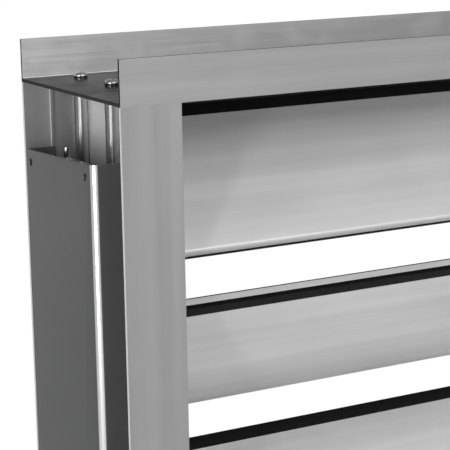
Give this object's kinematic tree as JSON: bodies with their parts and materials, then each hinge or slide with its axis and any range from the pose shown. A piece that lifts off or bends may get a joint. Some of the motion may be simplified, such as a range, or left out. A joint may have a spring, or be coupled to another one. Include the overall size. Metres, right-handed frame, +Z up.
{
  "type": "volume_control_damper",
  "caption": "Opposed-blade volume control damper: aerofoil blades in an extruded aluminium channel frame, ganged by a slide-bar linkage under a folded steel cover, with a drive spindle.",
  "frame": {"origin": "centre of the airway in the plane of the front flanges", "axes": "+X along the blades to the end away from the linkage, +Y with the air from the front flanges to the rear, +Z up"},
  "size_m": [0.613, 0.13, 0.452],
  "materials": {
    "mill_aluminium": "mill finish extrusion, satin with faint die lines",
    "blade_aluminium": "mill finish extrusion, satin along the blade",
    "galvanised_steel": "galvanised sheet, dull with faint spangle",
    "plated_steel": "zinc plated",
    "zinc_screw": "bright zinc plated",
    "black_epdm": "matt extruded seal",
    "nylon": "moulded natural nylon"
  },
  "bodies": {
    "frame": {"top_rail": "mill_aluminium", "bottom_rail": "mill_aluminium", "left_jamb": "mill_aluminium", "right_jamb": "mill_aluminium", "head_stop": "mill_aluminium", "sill_stop": "mill_aluminium", "bush_left_1": "nylon", "bush_right_1": "nylon", "bush_left_2": "nylon", "bush_right_2": "nylon", "bush_left_3": "nylon", "bush_right_3": "nylon", "bush_left_4": "nylon", "bush_right_4": "nylon", "head_stop_seal": "black_epdm", "sill_stop_seal": "black_epdm", "corner_screws_top_left": "zinc_screw", "corner_screws_top_right": "zinc_screw", "corner_screws_bottom_left": "zinc_screw", "corner_screws_bottom_right": "zinc_screw", "cover_screws": "zinc_screw", "guide_stud_lower": "plated_steel", "guide_stud_upper": "plated_steel", "linkage_cover": "galvanised_steel"},
    "slide_bar": {"slide_bar": "galvanised_steel", "coupling_stud": "zinc_screw", "coupling_nuts": "zinc_screw"},
    "blade_1": {"blade_1": "blade_aluminium", "blade_1_seals": "black_epdm", "crank_shaft_1": "plated_steel", "idle_pin_1": "plated_steel", "crank_arm_1": "plated_steel", "crank_pin_1": "plated_steel"},
    "blade_2": {"blade_2": "blade_aluminium", "blade_2_seals": "black_epdm", "crank_shaft_2": "plated_steel", "idle_pin_2": "plated_steel", "crank_arm_2": "plated_steel", "crank_pin_2": "plated_steel"},
    "blade_3": {"blade_3": "blade_aluminium", "blade_3_seals": "black_epdm", "drive_spindle": "plated_steel", "idle_pin_3": "plated_steel", "crank_arm_3": "plated_steel", "crank_pin_3": "plated_steel"},
    "blade_4": {"blade_4": "blade_aluminium", "blade_4_seals": "black_epdm", "crank_shaft_4": "plated_steel", "idle_pin_4": "plated_steel", "crank_arm_4": "plated_steel", "crank_pin_4": "plated_steel"}
  },
  "joints": [
    {"name": "blade_1_turn", "type": "hinge", "parent": "frame", "child": "blade_1", "pos_m": [0, 0.062, 0.15], "axis": [1, 0, 0], "range_deg": [-45, 45]},
    {"name": "blade_2_turn", "type": "hinge", "parent": "frame", "child": "blade_2", "pos_m": [0, 0.062, 0.05], "axis": [1, 0, 0], "range_deg": [-45, 45]},
    {"name": "blade_3_turn", "type": "hinge", "parent": "frame", "child": "blade_3", "pos_m": [0, 0.062, -0.05], "axis": [1, 0, 0], "range_deg": [-45, 45]},
    {"name": "blade_4_turn", "type": "hinge", "parent": "frame", "child": "blade_4", "pos_m": [0, 0.062, -0.15], "axis": [1, 0, 0], "range_deg": [-45, 45]},
    {"name": "bar_slide", "type": "slide", "parent": "frame", "child": "slide_bar", "axis": [0, 0, 1], "range_m": [-0.01135, 0.01135]}
  ],
  "couplings": [
    {"joint": "blade_1_turn", "follows": "blade_3_turn", "ratio": 1},
    {"joint": "blade_2_turn", "follows": "blade_3_turn", "ratio": -1},
    {"joint": "blade_4_turn", "follows": "blade_3_turn", "ratio": -1},
    {"joint": "bar_slide", "follows": "blade_3_turn", "m_per_rad": 0.0144}
  ]
}
